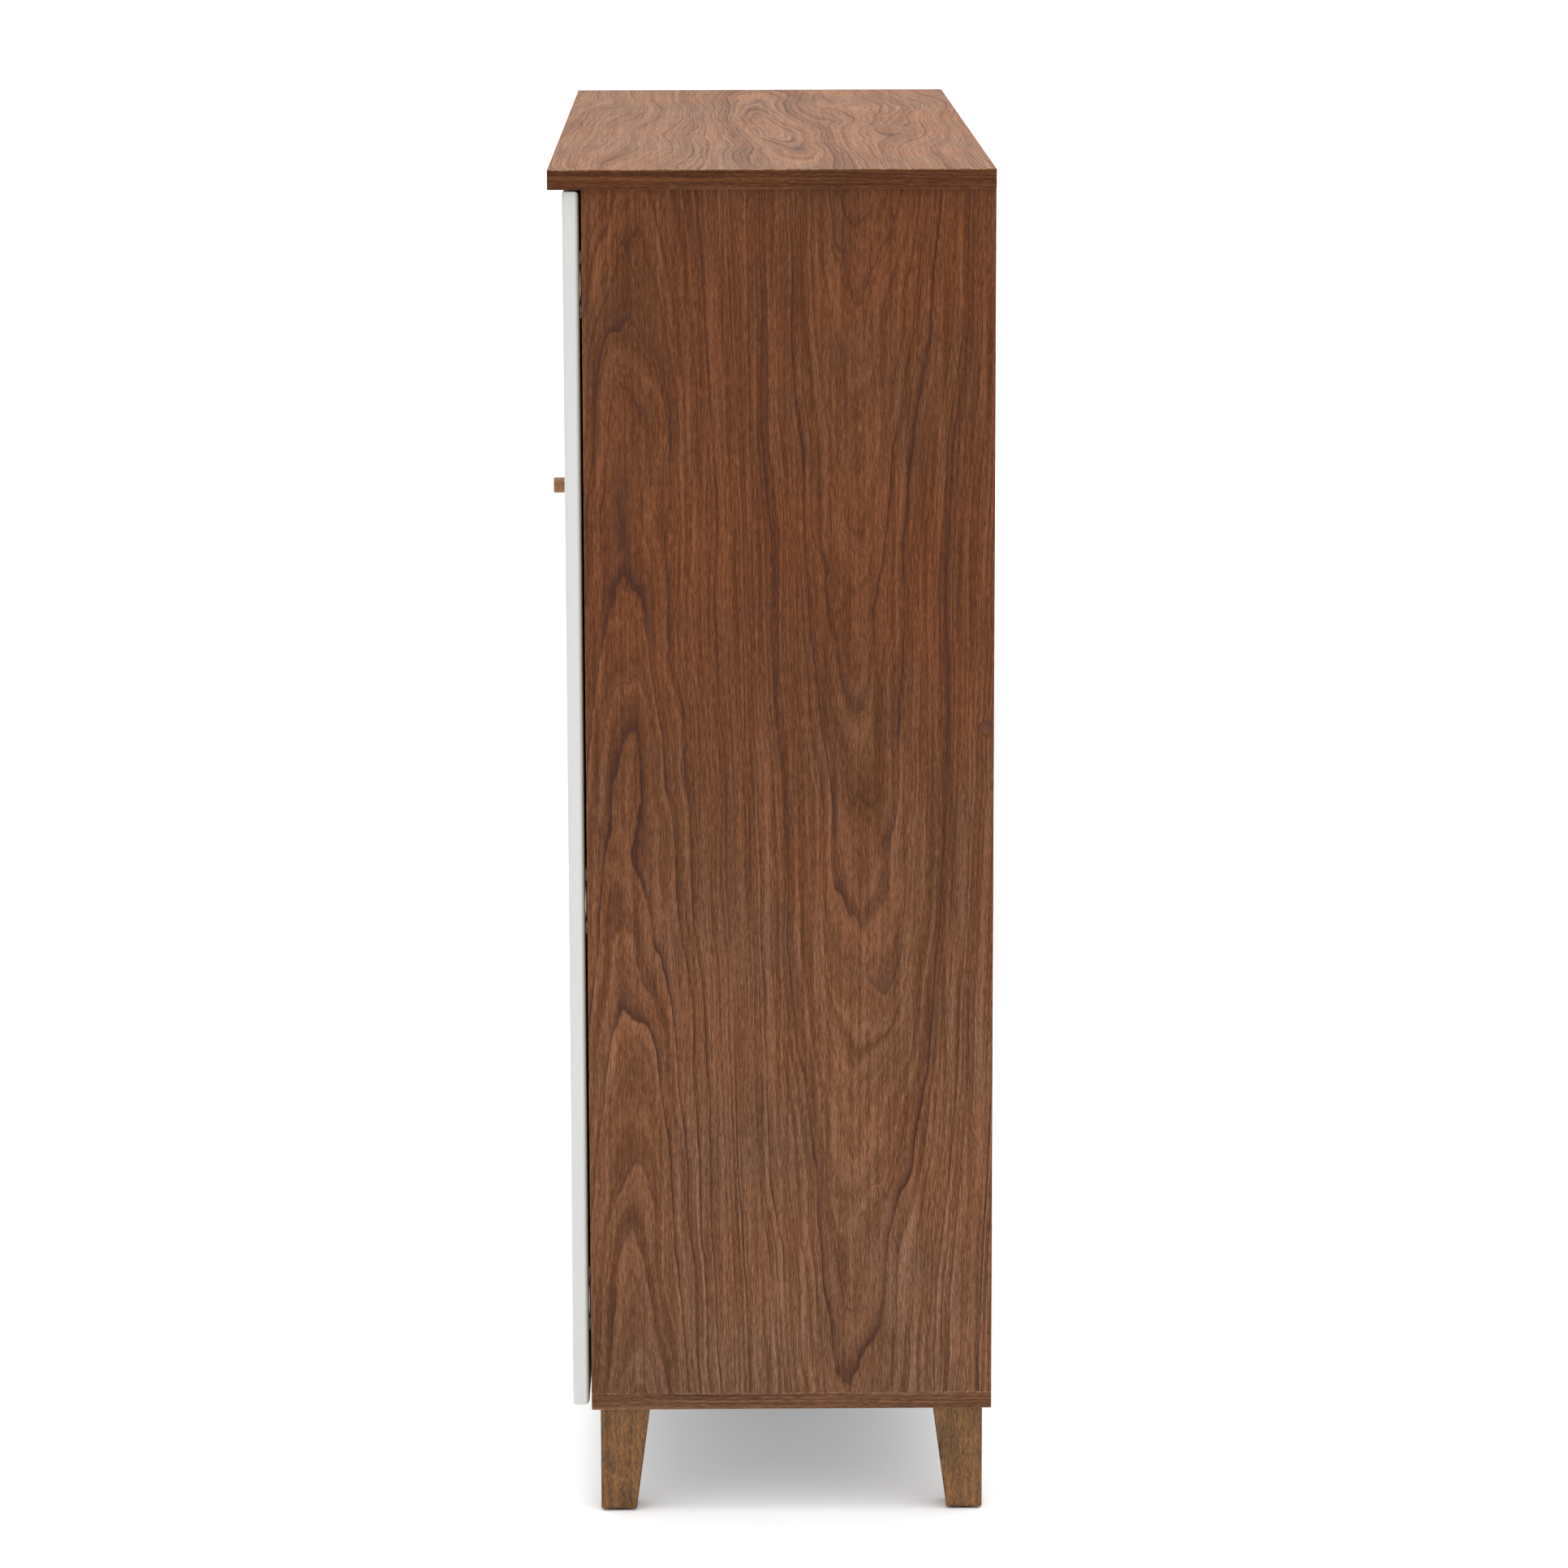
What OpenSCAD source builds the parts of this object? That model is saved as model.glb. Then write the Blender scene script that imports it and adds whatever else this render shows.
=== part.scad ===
// Shoe cabinet with three doors on tapered legs.
// Millimetres, +Z up. The front faces -Y. The origin is on the floor, at the centre of the
// cabinet's width and of its depth from knob tip to back edge.

/* [Overall size] */
// Width of the top panel
cabinet_w = 1200; // [1000:10:1400]
// Height from the floor to the top face
cabinet_h = 1245; // [1145:1:1345]
// Depth of the carcass without doors
carcass_d = 370; // [340:5:400]
// How far the top panel passes the side panels
side_overhang = 5; // [2:1:15]
// How far the top panel passes the carcass front
front_overhang = 30; // [20:1:37]

/* [Boards] */
// Thickness of the top panel
top_t = 18; // [16:1:22]
// Thickness of sides, bottom, partition, shelves and back rail
board_t = 15; // [15:0.5:16]
// Thickness of the back panels
back_t = 3; // [2.5:0.5:4]
// Depth of the groove that holds the back panels
groove_deep = 6; // [4:0.5:8]
// Height of the back rail
rail_h = 80; // [60:5:120]
// Height of the back rail's centre line above the floor
rail_z = 740; // [690:1:780]

/* [Doors] */
// Thickness of a door
door_t = 15; // [15:0.5:16]
// Gap between the carcass and a closed door
door_gap = 2; // [1.8:0.1:2.5]
// Gap between two neighbouring doors
door_split = 3; // [3:0.5:5]
// How far the outer doors stop short of the side faces
door_reveal = 1; // [1:0.1:1.4]
// How far the doors reach below the top of the bottom panel
door_lap = 10; // [9:1:12]
// Radius of the doors' front edges
door_edge_r = 3; // [2.5:0.5:4]

/* [Knobs] */
// Diameter of a knob
knob_d = 15; // [13:1:20]
// How far a knob stands out of its door
knob_len = 20; // [18:1:24]
// Height of the knobs above the floor
knob_z = 916; // [880:1:940]
// Distance from a door's free edge to its knob
knob_inset = 35; // [30:1:50]

/* [Legs] */
// Height of the wooden leg
leg_h = 98; // [80:1:110]
// Width of a leg where it meets the bottom panel
leg_top_w = 46; // [42:1:48]
// Width of a leg at its foot
leg_foot_w = 33; // [28:1:38]
// Distance from the carcass faces to a leg
leg_inset = 8; // [6:1:10]
// Height of the glide under each leg
glide_h = 2; // [2:0.5:3]

/* [Shelves] */
// Number of shelves on each side of the partition
shelf_count = 5; // [5:1:5]
// Gap at each end of a shelf
shelf_gap = 0.5; // [0.3:0.1:1]

/* [Hidden] */
$fn = 48;
fit = 0.05;
hole_fit = 0.1;

// Carcass planes
knob_reach = door_gap + door_t + knob_len;
total_d = carcass_d + max(front_overhang, knob_reach);
back_y = total_d / 2;
front_y = back_y - carcass_d;
side_x = cabinet_w / 2 - side_overhang;
bottom_z = leg_h + glide_h;
case_z = bottom_z + board_t;
under_top_z = cabinet_h - top_t;
side_h = under_top_z - case_z;
rail_y = back_y - board_t;
back_gap = 0.2;
back_panel_y = rail_y - back_t - back_gap;

// Doors: each hinge edge, as an x value, and the height range
door_w = (2 * side_x - 2 * door_reveal - 2 * door_split) / 3;
door_top_gap = 2;
door_z0 = case_z - door_lap;
door_z1 = under_top_z - door_top_gap;
door_h = door_z1 - door_z0;
door_back_y = front_y - door_gap;
edge_right = side_x - door_reveal;
edge_middle = edge_right - door_w - door_split;
edge_left = -edge_right;
partition_x = edge_middle + door_split / 2;
partition_lap = board_t / 2 - door_split / 2;

// Compartments: clear inner faces of the two sections, and the shelf spacing
inner_x = side_x - board_t;
right_x0 = partition_x + board_t / 2;
left_x1 = partition_x - board_t / 2;
pitch = (side_h + board_t) / (shelf_count + 1);
clear_h = pitch - board_t;
hinge_rows = [1, 3, shelf_count + 1];

// Concealed hinge, in the plane of the hinge: x from the door's hinge edge, y from the carcass front
arm_pin = [-29, 5];
cup_pin = [-9.5, -6];
arm_pin_r = 1.5;
cup_pin_r = 1.2;
link_w = 8;
link_t = 3;
link_path = [cup_pin, [-13, -9], [-18, -9.5], [-24, -7.5], [-28, -3.5], arm_pin];
cup_r = 17.5;
cup_x = -22.5;
cup_deep = 11.5;
cup_wall = 0.9;
flange_t = 1;
cup_screw_x = cup_x - 6;
cup_screw_z = 24;
arm_w = 14;
arm_wall = 1.5;
arm_web_x = -33;
arm_end_y = 64;
plate_t = 2;
plate_y = 37;
plate_screw_z = 16;
rail_block_w = 10.4;
rail_block_h = 14;

// Fasteners
side_screw_y = [front_y + 90, front_y + carcass_d / 2, back_y - 90];
partition_screw_y = [front_y + 90, back_y - 90];
confirmat_len = 50;
confirmat_head_h = 3;
cam_y = [front_y + 60, back_y - 75];
cam_edge = 24;
cam_r = 7.5;
cam_deep = 12.5;
cam_slot_w = 7.4;
dowel_in_top = 11;
pin_r = 2.5;
pin_half = 7;
insert_r = 6;
insert_h = 12;
bolt_r = 4;
bolt_in_leg = 34;
cap_r = 6.3;
knob_screw_r = 2;
knob_screw_in = 12;
bumper_r = 2.5;

walnut = [0.45, 0.30, 0.20];
leg_wood = [0.50, 0.37, 0.26];
lacquer = [0.88, 0.87, 0.85];
knob_wood = [0.70, 0.50, 0.33];
hardboard = [0.42, 0.33, 0.26];
zinc = [0.72, 0.73, 0.75];
nickel = [0.80, 0.80, 0.79];
cap_brown = [0.36, 0.24, 0.18];

// ---- General shapes ----

// A box between two corners
module board(low, high) {
    translate(low)
        cube(high - low);
}

// A round bar along X, Y or Z that starts at a point; a negative length runs backwards
module bar_x(start, r, len) {
    translate(start)
        rotate([0, len > 0 ? 90 : -90, 0])
            cylinder(r = r, h = abs(len));
}

module bar_y(start, r, len) {
    translate(start)
        rotate([len > 0 ? -90 : 90, 0, 0])
            cylinder(r = r, h = abs(len));
}

module bar_z(start, r, len) {
    translate(len > 0 ? start : start + [0, 0, len])
        cylinder(r = r, h = abs(len));
}

// ---- Positions ----

function edge_x(d) = d == "right" ? edge_right : d == "middle" ? edge_middle : edge_left;
function row_z(row) = case_z + (row - 1) * pitch + clear_h / 2;
function shelf_z(i) = case_z + i * pitch - board_t;
// How much further than on a side panel the hinge has to reach on the partition
function crank(d) = d == "middle" ? board_t - door_reveal - partition_lap : 0;
function knob_x(d) = d == "left" ? edge_x(d) + door_w - knob_inset : edge_x(d) - door_w + knob_inset;

// Draws its children at the three hinges of a door; the left door's are mirrored
module at_hinges(d) {
    for (row = hinge_rows)
        translate([edge_x(d), front_y, row_z(row)])
            mirror([d == "left" ? 1 : 0, 0, 0])
                children();
}

// Draws its children at each cam lock: at the board's mid-thickness plane, on the cam's axis
module at_cams(x, dir) {
    for (y = cam_y)
        translate([x, y, under_top_z - cam_edge])
            mirror([dir > 0 ? 0 : 1, 0, 0])
                children();
}

// The four corners: outer corner of each leg, and the directions towards the inside
function leg_corner(sx, sy) =
    [sx * (side_x - leg_inset), sy > 0 ? back_y - leg_inset : front_y + leg_inset];
function leg_axis(sx, sy) = leg_corner(sx, sy) - [sx, sy] * leg_foot_w / 2;

module at_leg_axes(z) {
    for (sx = [-1, 1])
        for (sy = [-1, 1])
            translate(concat(leg_axis(sx, sy), [z]))
                children();
    translate([partition_x, front_y + carcass_d / 2, z])
        children();
}

// ---- Holes shared by the boards ----

// Cam bore from the inner face, and the dowel hole from the upper edge
module cam_holes(x, dir) {
    at_cams(x, dir) {
        bar_x([board_t / 2 - cam_deep, 0, 0], cam_r, cam_deep + 1);
        bar_z([0, 0, 0], 4, cam_edge + 1);
    }
}

module shelf_pin_holes(x, dir) {
    for (i = [1:shelf_count])
        for (y = [front_y + 50, back_panel_y - 50])
            bar_x([x, y, shelf_z(i) - pin_r - fit], pin_r + hole_fit, dir * (pin_half + 0.2));
}

module hinge_plate_holes(d) {
    at_hinges(d)
        for (z = [-plate_screw_z, plate_screw_z])
            bar_x([crank(d) - board_t + door_reveal - 1, plate_y, z], 2 + fit, 14);
}

// The two outer boards have three screws from below, and the partition two
function bottom_screw_rows() =
    [[board_t / 2 - side_x, side_screw_y], [partition_x, partition_screw_y],
    [side_x - board_t / 2, side_screw_y]];

module bottom_screw_holes(row) {
    for (y = row[1])
        bar_z([row[0], y, case_z - 1], 2.5 + hole_fit, confirmat_len - board_t + 2);
}

module back_groove(x0, x1, z0, z1) {
    board([x0, rail_y - back_t - 2 * back_gap, z0], [x1, rail_y, z1]);
}

// ---- Carcass ----

module top_panel() {
    color(walnut)
        difference() {
            board([-cabinet_w / 2, front_y - front_overhang, under_top_z],
                [cabinet_w / 2, back_y, cabinet_h]);
            back_groove(-inner_x, inner_x, under_top_z - 1, under_top_z + groove_deep);
            for (x = [-side_x + board_t / 2, partition_x, side_x - board_t / 2])
                for (y = cam_y)
                    bar_z([x, y, under_top_z - 1], 3.5 + hole_fit, dowel_in_top + 1.5);
        }
}

module bottom_panel() {
    color(walnut)
        difference() {
            board([-side_x, front_y, bottom_z], [side_x, back_y, case_z]);
            back_groove(-inner_x, inner_x, case_z - groove_deep, case_z + 1);
            for (row = bottom_screw_rows())
                for (y = row[1]) {
                    bar_z([row[0], y, bottom_z - 1], 3.5 + hole_fit, board_t + 2);
                    bar_z([row[0], y, bottom_z - 1], 5 + hole_fit, confirmat_head_h + 1);
                }
            at_leg_axes(bottom_z - 1)
                cylinder(r = insert_r + hole_fit, h = insert_h + 1.2);
        }
}

// A side panel; dir is +1 on the right and -1 on the left
module side_panel(dir) {
    inner = dir * inner_x;
    outer = dir * side_x;
    color(walnut)
        difference() {
            board([min(inner, outer), front_y, case_z], [max(inner, outer), back_y, under_top_z]);
            back_groove(min(inner - dir, inner + dir * groove_deep),
                max(inner - dir, inner + dir * groove_deep), case_z - 1, under_top_z + 1);
            cam_holes(dir * (side_x - board_t / 2), -dir);
            shelf_pin_holes(inner, dir);
            hinge_plate_holes(dir > 0 ? "right" : "left");
            bottom_screw_holes(bottom_screw_rows()[dir > 0 ? 2 : 0]);
            bar_x([inner - dir, back_y - board_t / 2, rail_z], 3.5 + hole_fit, dir * (board_t + 2));
            bar_x([outer + dir, back_y - board_t / 2, rail_z], 5 + hole_fit,
                -dir * (confirmat_head_h + 1));
        }
}

module partition_panel() {
    color(walnut)
        difference() {
            board([left_x1, front_y, case_z], [right_x0, back_panel_y - back_gap, under_top_z]);
            cam_holes(partition_x, -1);
            shelf_pin_holes(right_x0, -1);
            shelf_pin_holes(left_x1, 1);
            hinge_plate_holes("middle");
            bottom_screw_holes(bottom_screw_rows()[1]);
        }
}

module back_rail() {
    color(walnut)
        difference() {
            board([-inner_x, rail_y, rail_z - rail_h / 2], [inner_x, back_y, rail_z + rail_h / 2]);
            for (dir = [-1, 1])
                bar_x([dir * (inner_x + 1), back_y - board_t / 2, rail_z], 2.5 + hole_fit,
                    -dir * (confirmat_len - board_t + 2));
        }
}

module back_panel_upper() {
    color(hardboard)
        union() {
            board([-inner_x - groove_deep + 0.5, back_panel_y, rail_z + 0.5],
                [inner_x + groove_deep - 0.5, back_panel_y + back_t, under_top_z - 0.5]);
            board([-inner_x + 0.5, back_panel_y, under_top_z - 1],
                [inner_x - 0.5, back_panel_y + back_t, under_top_z + groove_deep - 0.5]);
        }
}

module back_panel_lower() {
    color(hardboard)
        union() {
            board([-inner_x - groove_deep + 0.5, back_panel_y, case_z + 0.5],
                [inner_x + groove_deep - 0.5, back_panel_y + back_t, rail_z - 0.5]);
            board([-inner_x + 0.5, back_panel_y, case_z - groove_deep + 0.5],
                [inner_x - 0.5, back_panel_y + back_t, case_z + 1]);
        }
}

// ---- Shelves ----

module shelf(x0, x1, i) {
    color(walnut)
        board([x0 + shelf_gap, front_y + 2, shelf_z(i)],
            [x1 - shelf_gap, back_panel_y - 2, shelf_z(i) + board_t]);
}

module shelf_pins() {
    color(nickel)
        for (i = [1:shelf_count])
            for (y = [front_y + 50, back_panel_y - 50])
                for (side = [[inner_x, -1], [right_x0, 1], [left_x1, -1], [-inner_x, 1]])
                    bar_x([side[0] - side[1] * pin_half, y, shelf_z(i) - pin_r - fit], pin_r,
                        side[1] * 2 * pin_half);
}

// ---- Legs ----

// A leg with two upright outer faces and two slanting inner ones
module leg(sx, sy) {
    profile = [[0, 0], [leg_foot_w, 0], [leg_top_w, leg_h], [0, leg_h]];
    corner = leg_corner(sx, sy);
    color(leg_wood)
        translate([corner[0], corner[1], glide_h])
            mirror([sx > 0 ? 1 : 0, 0, 0])
                mirror([0, sy > 0 ? 1 : 0, 0])
                    difference() {
                        intersection() {
                            translate([0, leg_top_w, 0])
                                rotate([90, 0, 0])
                                    linear_extrude(leg_top_w)
                                        polygon(profile);
                            rotate([90, 0, 90])
                                linear_extrude(leg_top_w)
                                    polygon(profile);
                        }
                        leg_holes([leg_foot_w / 2, leg_foot_w / 2, 0]);
                    }
}

// The bolt's hole from above and the glide nail's hole from below
module leg_holes(foot_centre) {
    bar_z(foot_centre + [0, 0, leg_h + 1], bolt_r + hole_fit, -bolt_in_leg - 1.5);
    bar_z(foot_centre - [0, 0, 1], 1.5 + hole_fit, 13.5);
}

// The middle support leg tapers on all four faces
module leg_centre() {
    slope = (leg_top_w - leg_foot_w) / 2;
    profile = [[slope, 0], [leg_top_w - slope, 0], [leg_top_w, leg_h], [0, leg_h]];
    color(leg_wood)
        translate([partition_x - leg_top_w / 2, front_y + carcass_d / 2 - leg_top_w / 2, glide_h])
            difference() {
                intersection() {
                    translate([0, leg_top_w, 0])
                        rotate([90, 0, 0])
                            linear_extrude(leg_top_w)
                                polygon(profile);
                    rotate([90, 0, 90])
                        linear_extrude(leg_top_w)
                            polygon(profile);
                }
                leg_holes([leg_top_w / 2, leg_top_w / 2, 0]);
            }
}

module leg_threaded_inserts() {
    color(zinc)
        at_leg_axes(bottom_z)
            difference() {
                cylinder(r = insert_r, h = insert_h);
                translate([0, 0, -1])
                    cylinder(r = bolt_r + fit, h = insert_h + 2);
            }
}

module leg_hanger_bolts() {
    color(zinc)
        at_leg_axes(bottom_z - bolt_in_leg)
            cylinder(r = bolt_r, h = bolt_in_leg + insert_h - 1);
}

// A plastic disc with a bevelled rim, and its nail
module leg_glides() {
    color([0.12, 0.11, 0.11])
        at_leg_axes(0) {
            cylinder(r1 = 11, r2 = 12.5, h = glide_h / 2);
            translate([0, 0, glide_h / 2])
                cylinder(r = 12.5, h = glide_h / 2);
            cylinder(r = 1.5, h = glide_h + 12);
        }
}

// ---- Carcass fasteners ----

// A furniture screw along +Z, its head's face at the origin
module confirmat() {
    difference() {
        union() {
            cylinder(r = 5, h = confirmat_head_h);
            cylinder(r = 3.5, h = board_t);
            cylinder(r = 2.5, h = confirmat_len);
        }
        translate([0, 0, -1])
            cylinder(r = 2, h = 3.5, $fn = 6);
    }
}

module confirmat_screws() {
    color(zinc) {
        for (row = bottom_screw_rows())
            for (y = row[1])
                translate([row[0], y, bottom_z])
                    confirmat();
        for (dir = [-1, 1])
            translate([dir * side_x, back_y - board_t / 2, rail_z])
                rotate([0, -dir * 90, 0])
                    confirmat();
    }
}

// A domed cap over each screw in the side panels, with a plug in the screw's socket
module screw_cover_caps() {
    color(cap_brown)
        for (dir = [-1, 1])
            translate([dir * side_x, back_y - board_t / 2, rail_z])
                rotate([0, dir * 90, 0]) {
                    cylinder(r1 = cap_r, r2 = cap_r - 0.3, h = 0.6);
                    translate([0, 0, 0.6])
                        cylinder(r1 = cap_r - 0.3, r2 = cap_r - 2, h = 0.7);
                    translate([0, 0, 1.3])
                        cylinder(r1 = cap_r - 2, r2 = cap_r - 4.5, h = 0.4);
                    translate([0, 0, -2])
                        cylinder(r = 1.6, h = 2.5);
                }
}

// A cam with a slot for the dowel's head and a cross recess in its face
module cam_locks() {
    depth = cam_deep - 0.2;
    mid = board_t / 2;
    color(zinc)
        for (place = [[side_x - mid, -1], [partition_x, -1], [mid - side_x, 1]])
            at_cams(place[0], place[1])
                difference() {
                    bar_x([mid - depth, 0, 0], cam_r - hole_fit, depth);
                    board([mid - cam_deep - 1, -cam_slot_w / 2, -3.6],
                        [mid - 3, cam_slot_w / 2, cam_r + 1]);
                    board([mid - 1, -4, -0.6], [mid + 1, 4, 0.6]);
                    board([mid - 1, -0.6, -4], [mid + 1, 0.6, 4]);
                }
}

// A rod screwed into the top panel, with a neck and a head inside the cam
module cam_dowels() {
    color(zinc)
        for (x = [-side_x + board_t / 2, partition_x, side_x - board_t / 2])
            for (y = cam_y)
                translate([x, y, under_top_z - cam_edge]) {
                    translate([0, 0, -3.2])
                        cylinder(r = 3.2, h = 3);
                    translate([0, 0, -0.5])
                        cylinder(r = 2.2, h = 9);
                    translate([0, 0, 8])
                        cylinder(r = 3.5, h = cam_edge - 8 + dowel_in_top);
                }
}

// ---- Hinges ----

// The mounting plate on the board's face, with two wings and the block that carries the arm
module hinge_plate(k) {
    face = door_reveal - board_t + k;
    difference() {
        union() {
            board([face - plate_t, plate_y - 8, -23], [face, plate_y + 8, 23]);
            board([face - plate_t, 20, -7], [face, arm_end_y, 7]);
            board([face - plate_t - rail_block_h, 24, -rail_block_w / 2],
                [face - plate_t / 2, arm_end_y - 2, rail_block_w / 2]);
        }
        for (z = [-plate_screw_z, plate_screw_z])
            bar_x([face - plate_t - 1, plate_y, z], 2 + fit, plate_t + 2);
        bar_x([face - plate_t - rail_block_h - 1, 54, 0], 2 + fit, 13.2);
    }
}

module hinge_plates() {
    color(nickel)
        for (d = ["right", "middle", "left"])
            at_hinges(d)
                hinge_plate(crank(d));
}

module hinge_plate_screws() {
    color(zinc)
        for (d = ["right", "middle", "left"])
            at_hinges(d)
                for (z = [-plate_screw_z, plate_screw_z]) {
                    face = door_reveal - board_t + crank(d);
                    difference() {
                        union() {
                            bar_x([face - plate_t - 1.8, plate_y, z], 3.5, 1.8);
                            bar_x([face - plate_t - 0.5, plate_y, z], 2, plate_t + 12.5);
                        }
                        board([face - plate_t - 2.8, plate_y - 2.2, z - 0.5],
                            [face - plate_t - 0.9, plate_y + 2.2, z + 0.5]);
                        board([face - plate_t - 2.8, plate_y - 0.5, z - 2.2],
                            [face - plate_t - 0.9, plate_y + 0.5, z + 2.2]);
                    }
                }
}

// The arm: a channel over the plate's block, cranked by k, with two ears for the link's pin
module hinge_arm(k) {
    web = arm_web_x;
    inner = web + arm_wall;
    difference() {
        translate([0, 0, -arm_w / 2])
            linear_extrude(arm_w)
                polygon([[web, 9], [web + 1.5, 1.5], [-26, 1.5], [-25, 12], [k - 18, 23],
                    [k - 18, arm_end_y], [web + k, arm_end_y], [web + k, 23], [web, 14]]);
        translate([0, 0, arm_wall - arm_w / 2])
            linear_extrude(arm_w - 2 * arm_wall)
                polygon([[web - 5, -1], [web - 5, 8], [inner, 9.5], [inner, 14], [inner + k, 23],
                    [inner + k, arm_end_y + 1], [0, arm_end_y + 1], [0, -1]]);
        bar_z(concat(arm_pin, [-arm_w]), arm_pin_r + fit, 2 * arm_w);
        bar_x([web + k - 1, 54, 0], 2 + hole_fit, 4);
    }
}

module hinge_arms() {
    color(nickel)
        for (d = ["right", "middle", "left"])
            at_hinges(d)
                hinge_arm(crank(d));
}

// The screw that holds the arm on its plate
module hinge_arm_screws() {
    color(zinc)
        for (d = ["right", "middle", "left"])
            at_hinges(d)
                difference() {
                    head_x = arm_web_x + crank(d);
                    union() {
                        bar_x([head_x - 1.6, 54, 0], 3.6, 1.6);
                        bar_x([head_x - 1, 54, 0], 2, 15);
                    }
                    board([head_x - 2.6, 51.8, -0.5], [head_x - 0.8, 56.2, 0.5]);
                    board([head_x - 2.6, 53.5, -2.2], [head_x - 0.8, 54.5, 2.2]);
                }
}

module hinge_arm_pins() {
    color(zinc)
        for (d = ["right", "middle", "left"])
            at_hinges(d)
                bar_z(concat(arm_pin, [-arm_w / 2]), arm_pin_r, arm_w);
}

// A flat strip of the link's thickness between two points, with round ends
module strip(a, b, w) {
    run = b - a;
    translate(a)
        rotate(atan2(run[1], run[0]))
            translate([0, -w / 2])
                square([norm(run), w]);
    translate(a)
        circle(d = w);
    translate(b)
        circle(d = w);
}

// The bent link that joins arm and cup, with an eye at each pin
module hinge_links(d) {
    color(nickel)
        at_hinges(d)
            translate([0, 0, -link_w / 2])
                linear_extrude(link_w)
                    difference() {
                        union() {
                            for (i = [0:len(link_path) - 2])
                                strip(link_path[i], link_path[i + 1], link_t);
                            translate(arm_pin)
                                circle(r = arm_pin_r + 1.2);
                            translate(cup_pin)
                                circle(r = cup_pin_r + 1.1);
                        }
                        translate(arm_pin)
                            circle(r = arm_pin_r + fit);
                        translate(cup_pin)
                            circle(r = cup_pin_r + fit);
                    }
}

// The cup in the door, with its flange and the two ears for the pin
module hinge_cups(d) {
    ear_in = link_w / 2 + 0.6;
    ear_t = 1.6;
    color(nickel)
        at_hinges(d)
            difference() {
                union() {
                    bar_y([cup_x, -door_gap, 0], cup_r - hole_fit, -cup_deep);
                    bar_y([cup_x, -door_gap, 0], cup_r + 1.5, flange_t);
                    board([cup_screw_x - 7, -door_gap, -cup_screw_z - 6],
                        [cup_screw_x + 9, -door_gap + flange_t, cup_screw_z + 6]);
                }
                difference() {
                    bar_y([cup_x, -door_gap + 2, 0], cup_r - cup_wall, 1 - cup_deep - 2 + cup_wall);
                    for (s = [-1, 1])
                        board([-13.6, -door_gap - cup_deep, s > 0 ? ear_in : -ear_in - ear_t],
                            [-7.6, -3.4, s > 0 ? ear_in + ear_t : -ear_in]);
                }
                bar_z(concat(cup_pin, [-ear_in - ear_t]), cup_pin_r + fit, 2 * (ear_in + ear_t));
                for (z = [-cup_screw_z, cup_screw_z])
                    bar_y([cup_screw_x, -door_gap - 1, z], 1.75 + fit, flange_t + 2);
            }
}

module hinge_cup_pins(d) {
    half = link_w / 2 + 2.2;
    color(zinc)
        at_hinges(d)
            bar_z(concat(cup_pin, [-half]), cup_pin_r, 2 * half);
}

module hinge_cup_screws(d) {
    head_y = flange_t - door_gap;
    color(zinc)
        at_hinges(d)
            for (z = [-cup_screw_z, cup_screw_z])
                difference() {
                    union() {
                        bar_y([cup_screw_x, head_y, z], 3.3, 0.9);
                        bar_y([cup_screw_x, head_y + 0.4, z], 1.75, -12);
                    }
                    board([cup_screw_x - 2, head_y + 0.3, z - 0.5],
                        [cup_screw_x + 2, head_y + 2, z + 0.5]);
                    board([cup_screw_x - 0.5, head_y + 0.3, z - 2],
                        [cup_screw_x + 0.5, head_y + 2, z + 2]);
                }
}

// ---- Doors ----

// A rectangle of width w from y = -door_t to 0, with its two front corners rounded
module rounded_front(w) {
    r = door_edge_r;
    translate([0, r - door_t])
        square([w, door_t - r]);
    translate([r, -door_t])
        square([w - 2 * r, door_t]);
    for (x = [r, w - r])
        translate([x, r - door_t])
            circle(r = r);
}

// A door blank with four rounded front edges, its back lower left corner at the origin
module door_blank() {
    intersection() {
        linear_extrude(door_h)
            rounded_front(door_w);
        translate([door_w, 0, 0])
            rotate([0, -90, 0])
                linear_extrude(door_w)
                    rounded_front(door_h);
    }
}

module door(d) {
    left_x = d == "left" ? edge_x(d) : edge_x(d) - door_w;
    color(lacquer)
        difference() {
            translate([left_x, door_back_y, door_z0])
                door_blank();
            at_hinges(d) {
                bar_y([cup_x, -door_gap + 1, 0], cup_r, -cup_deep - 1);
                for (z = [-cup_screw_z, cup_screw_z])
                    bar_y([cup_screw_x, -door_gap + 1, z], 1.75 + fit, -13);
            }
            bar_y([knob_x(d), door_back_y + 1, knob_z], knob_screw_r + hole_fit, -door_t - 2);
        }
}

// A turned knob: a foot, a waist and a wider straight head with a softened rim
module knob(d) {
    head_r = knob_d / 2;
    rim_r = 1;
    color(knob_wood)
        translate([knob_x(d), door_back_y - door_t, knob_z])
            rotate([90, 0, 0])
                difference() {
                    rotate_extrude() {
                        polygon([[0, 0], [head_r - 1.2, 0], [head_r - 2.2, 3.5], [head_r - 2, 7],
                            [head_r - 0.3, 9.5], [head_r, 10.5], [head_r, knob_len - rim_r],
                            [head_r - rim_r, knob_len], [0, knob_len]]);
                        translate([head_r - rim_r, knob_len - rim_r])
                            circle(r = rim_r);
                    }
                    translate([0, 0, -1])
                        cylinder(r = knob_screw_r + fit, h = knob_screw_in + 1.5);
                }
}

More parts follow.
